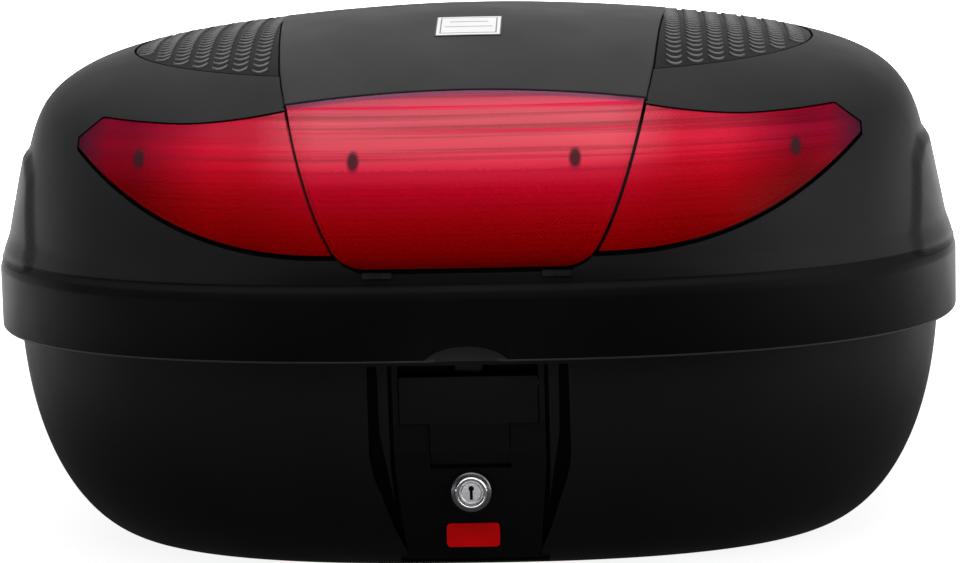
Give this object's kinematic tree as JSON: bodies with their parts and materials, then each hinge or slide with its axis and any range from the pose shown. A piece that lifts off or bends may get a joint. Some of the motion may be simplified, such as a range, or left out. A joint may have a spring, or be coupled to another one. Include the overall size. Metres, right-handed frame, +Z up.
{
  "type": "motorcycle top case",
  "caption": "Rounded black top case with a domed hinged lid, a wide segmented red rear lens, a rim band, and a central lock panel with a latch paddle, key cylinder and red release button.",
  "frame": {"origin": "bottom centre of the case's bounding box, on the ground", "axes": "+Z up, the lock and lens side faces -Y, +X to the right seen from the lock side"},
  "size_m": [0.592, 0.4265, 0.3205],
  "materials": {
    "black_shell": "fine moulded grain, satin",
    "lock_plastic": "smooth satin",
    "panel_plastic": "fine moulded grain",
    "grip_plastic": "rows of small raised crescents",
    "lens_red": "tinted polycarbonate with fine optic ribs",
    "reflector": "metallised, ribbed",
    "screw_dark": "dark satin",
    "label": "plain white foil, no lettering",
    "seal_rubber": "matt rubber",
    "chrome": "polished ring, brushed face",
    "steel": "zinc plated",
    "hinge_plastic": "satin",
    "button_red": "satin red"
  },
  "bodies": {
    "base": {"base_shell": "black_shell", "rim_seal": "seal_rubber", "lock_housing": "lock_plastic", "lock_cover": "lock_plastic", "cover_screws": "steel", "lock_barrel": "chrome", "paddle_pin": "steel", "hook_pin": "steel", "lever_pin": "steel", "hinge_base_left": "hinge_plastic", "hinge_base_right": "hinge_plastic", "hinge_pins": "steel", "base_hinge_screws": "steel", "paddle_spring": "steel", "button_spring": "steel", "bolt_spring": "steel"},
    "lid": {"lid_shell": "black_shell", "top_panel": "panel_plastic", "lens_left": "lens_red", "lens_centre": "lens_red", "lens_right": "lens_red", "reflector_left": "reflector", "reflector_centre": "reflector", "reflector_right": "reflector", "lens_screws": "screw_dark", "lens_clips": "screw_dark", "grip_left": "grip_plastic", "grip_right": "grip_plastic", "label_plate": "label", "striker": "steel", "striker_screws": "steel", "hinge_lid_left": "hinge_plastic", "hinge_lid_right": "hinge_plastic", "lid_hinge_screws": "steel"},
    "paddle": {"latch_paddle": "lock_plastic"},
    "hook": {"latch_hook": "steel"},
    "plug": {"key_plug": "chrome", "lock_cam": "steel"},
    "button": {"release_button": "button_red"},
    "lever": {"release_lever": "steel"},
    "bolt": {"plate_bolt": "steel"}
  },
  "joints": [
    {"name": "lid_hinge", "type": "hinge", "parent": "base", "child": "lid", "pos_m": [0, 0.208, 0.128], "axis": [-1, 0, 0], "range_deg": [0, 80]},
    {"name": "paddle_hinge", "type": "hinge", "parent": "base", "child": "paddle", "pos_m": [0, -0.188, 0.118], "axis": [-1, 0, 0], "range_deg": [0, 40], "stiffness_Nm_per_rad": 0.15},
    {"name": "hook_hinge", "type": "hinge", "parent": "base", "child": "hook", "pos_m": [0, -0.176, 0.11], "axis": [-1, 0, 0], "range_deg": [0, 12]},
    {"name": "key_turn", "type": "hinge", "parent": "base", "child": "plug", "pos_m": [0, -0.18, 0.054], "axis": [0, 1, 0], "range_deg": [0, 90]},
    {"name": "button_push", "type": "slide", "parent": "base", "child": "button", "axis": [0, 1, 0], "range_m": [0, 0.0035], "stiffness_N_per_m": 900},
    {"name": "lever_turn", "type": "hinge", "parent": "base", "child": "lever", "pos_m": [0, -0.143, 0.02], "axis": [-1, 0, 0], "range_deg": [0, 21]},
    {"name": "bolt_draw", "type": "slide", "parent": "base", "child": "bolt", "axis": [0, -1, 0], "range_m": [0, 0.00385]}
  ],
  "couplings": [
    {"joint": "hook_hinge", "follows": "paddle_hinge", "ratio": 0.3},
    {"joint": "lever_turn", "follows": "button_push", "rad_per_m": 104.72},
    {"joint": "bolt_draw", "follows": "button_push", "ratio": 1.1}
  ]
}
